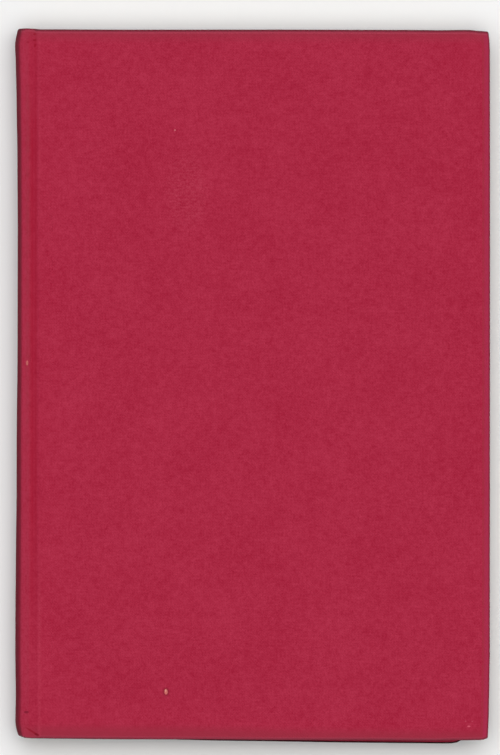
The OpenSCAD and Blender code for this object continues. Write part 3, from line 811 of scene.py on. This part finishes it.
def board(name, side, body, node):
    """Binder's board with its edges rubbed round, inside the cloth."""
    r, gap = 0.4, 0.38
    share = np.linspace(0, 1, 40)
    rise = np.linspace(0, 1, 42)[1:-1]
    loops = []
    high, low = HALF_T - gap, HALF_T - UNDER_BOARD + 0.02
    stops = [(r, low), (r * 0.4, low + r * 0.2), (r * 0.1, low + r * 0.6), (0, low + r)]
    stops += [(0, high - r), (r * 0.1, high - r * 0.6), (r * 0.4, high - r * 0.2), (r, high)]
    for inset, z in stops if side > 0 else stops[::-1]:
        end_u = COVER_W - gap - inset
        u = BOARD_IN + 0.05 + inset + (end_u - BOARD_IN - 0.05 - inset) * share
        lo, hi = eased(u, TAIL[side]) + gap + inset, eased(u, HEAD[side]) - gap - inset
        tail_u, head_u = [u + pull(u, end_u) * (eased(at, FORE[side]) - COVER_W) for at in (lo, hi)]
        fore_y = lo[-1] + (hi[-1] - lo[-1]) * rise
        fore_u = end_u + eased(fore_y, FORE[side]) - COVER_W
        z *= side
        loops.append(np.concatenate([
            place(tail_u, lo, z), place(fore_u, fore_y, z), place(head_u[::-1], hi[::-1], z),
            place(u[0], fore_y[::-1], z)]))
    piece = stacked(name, loops, len(share), len(rise), BOARD, {})
    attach(piece, body)
    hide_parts(node)


def spine_card():
    """The curved card inside the spine's cloth."""
    halves = []
    count = ARC_COLUMNS + RIDGE_COLUMNS
    for side in (-1, 1):
        sec = Section(side)
        lo, hi = sec.tail[:count, None] + 0.7, sec.head[:count, None] - 0.7
        y = lo + (hi - lo) * np.linspace(0, 1, 90)
        u, z = sec.skin(np.arange(count)[:, None], y, 0.38 / TURNED)
        halves.append((u, y, z, sec.s[:count] * side))
    rear, front = halves
    u, y, z, s = [np.concatenate([rear[k][:0:-1], front[k]]) for k in range(4)]
    piece = sheet("spine_card", u, y, z, 1, 1, s, CARD, 0.56, y * 0)
    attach(piece, "book_block")
    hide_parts("spine_inlay")


def headband(name, end):
    """A core wound with thread, on a tape glued to the back."""
    turns, sides, half_sweep = 59, 16, 12
    t = np.linspace(0, 1, turns * 6 + 1)[:, None]
    round_it = np.arange(sides)[None] * 2 * math.pi / sides
    wound = t * turns + round_it / (2 * math.pi)
    r = BEAD_D / 2 * (1 - 0.11 * (1 - np.abs(np.sin(math.pi * wound))))
    sweep = math.radians(half_sweep) * (2 * t - 1)
    radial = BACK_R - BLOCK_BACK - BEAD_SET - r * np.cos(round_it)
    y = CENTRE_Y + end * (PAGE_H / 2 + BEAD_D / 2 + BEAD_CLEAR) + r * np.sin(round_it)
    points = place(BACK_R - radial * np.cos(sweep), y, radial * np.sin(sweep))
    faces = []
    for i in range(len(t) - 1):
        a = i * sides + np.arange(sides)
        faces += np.stack([a, a + sides, np.roll(a, -1) + sides, np.roll(a, -1)], -1).tolist()
    last = (len(t) - 1) * sides
    faces += [list(range(sides)), list(range(last + sides - 1, last - 1, -1))]
    around = np.broadcast_to(np.abs(round_it / math.pi - 1), r.shape)
    piece = make(name, points, faces, THREADS, {"turn": wound.ravel(), "around": around.ravel()})
    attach(piece, "book_block")
    sweep = np.radians(np.linspace(-half_sweep, half_sweep, 25))[:, None]
    rows = CENTRE_Y + end * (PAGE_H / 2 - TAPE_W + (TAPE_W + BEAD_D / 2) * np.linspace(0, 1, 12))[None]
    radial = BACK_R - BLOCK_BACK + 0.14
    u, y = np.broadcast_arrays(BACK_R - radial * np.cos(sweep), rows)
    z = np.broadcast_to(radial * np.sin(sweep), u.shape)
    tape = sheet(name + "_tape", u, y, z, 1, end, sweep[:, 0] * 50, LINING, 0.12, y * 0)
    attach(tape, "book_block")
    for made in (piece, tape):
        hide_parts(name)


for name, side, body in (("front", 1, "front_cover"), ("rear", -1, "rear_cover")):
    cloth = cloth_half("cover_cloth_" + name, side)
    cross_joint(cloth, side, 3.9, 6.5)
    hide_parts(name + "_cloth", "spine_cloth")
    board("board_" + name, side, body, name + "_board")
    flyleaf("flyleaf_" + name, side, name + "_flyleaf")
    pastedown("pastedown_" + name, side, (name + "_pastedown", name + "_flyleaf"))
text_block()
spine_card()
headband("headband", 1)
headband("tailband", -1)
for node, finish in (("spine_lining", LINING), ("spine_mull", MULL), ("front_mull", MULL), ("rear_mull", MULL)):
    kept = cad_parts[node]
    kept.data.materials.clear()
    kept.data.materials.append(finish)

# ---------------------------------------------------------------- floor, light and camera

FLOOR_LIT, FLOOR_SEEN, ROOM_SEEN = (125, 125, 125), (245, 245, 245), (240, 240, 240)
LIGHT_ABOVE, LIGHT_LOW = (0.26, 0.26, 0.26, 1), (2.4, 2.4, 2.4, 1)
# Half the floor's width, and where it starts and ends its change to the room's tone, in metres
FLOOR_HALF, FLOOR_FADE = 6.0, (0.3, 1.3)


def floor():
    f = Finish("pale floor")
    seen = f.seen()
    tone = f.mix(seen, paint(*FLOOR_LIT), paint(*FLOOR_SEEN))
    plain = f.node("ShaderNodeBsdfDiffuse", inputs={"Color": tone})
    # Away from the book the floor is seen as pale as the room round it
    x, y, _ = f.parts(f.node("ShaderNodeTexCoord", output=3))
    far = f.step((x * x + y * y) ** 0.5, *FLOOR_FADE) * seen
    pale = f.node("ShaderNodeEmission", inputs={"Color": paint(*ROOM_SEEN), "Strength": 1.0})
    material = f.output(f.node("ShaderNodeMixShader", inputs={0: far, 1: plain, 2: pale}))
    mesh = bpy.data.meshes.new("floor")
    w = FLOOR_HALF
    mesh.from_pydata([(-w, -w, 0), (w, -w, 0), (w, w, 0), (-w, w, 0)], [], [(0, 1, 2, 3)])
    mesh.materials.append(material)
    made = bpy.data.objects.new("floor", mesh)
    bpy.context.scene.collection.objects.link(made)


floor()

world = bpy.data.worlds.new("soft room")
bpy.context.scene.world = world
room = Finish("soft room", world, "ShaderNodeOutputWorld")
# Soft light comes from above, and more of it from low round the book, except on the spine's side
x, _, z = room.parts(room.node("ShaderNodeTexCoord", output=0))
low = room.step(z, 0.0, 0.4, 1.0, 0.0) * room.step(x, -0.6, 0.2)
light = room.node("ShaderNodeBackground", inputs={"Color": room.mix(low, LIGHT_ABOVE, LIGHT_LOW)})
shown = room.node("ShaderNodeBackground", inputs={"Color": paint(*ROOM_SEEN)})
room.output(room.node("ShaderNodeMixShader", inputs={0: room.seen(), 1: light, 2: shown}))

sun = bpy.data.lights.new("overhead", "AREA")
sun.shape, sun.size, sun.energy = "DISK", 2.0, 69.9
lamp = bpy.data.objects.new("overhead", sun)
lamp.location = (0.0, 0.26, 3.0)
lamp.rotation_euler = (-0.0865, 0.0, 0.0)
lamp.visible_camera = False
bpy.context.scene.collection.objects.link(lamp)

eye = bpy.data.cameras.new("straight above")
eye.lens, eye.sensor_width, eye.sensor_fit = 1000.0, 36.0, "AUTO"
eye.clip_start, eye.clip_end = 0.1, 100.0
camera = bpy.data.objects.new("straight above", eye)
camera.location = (-0.00067, 0.00264, 6.6023)
bpy.context.scene.collection.objects.link(camera)
bpy.context.scene.camera = camera
bpy.context.scene.view_settings.view_transform = "Standard"
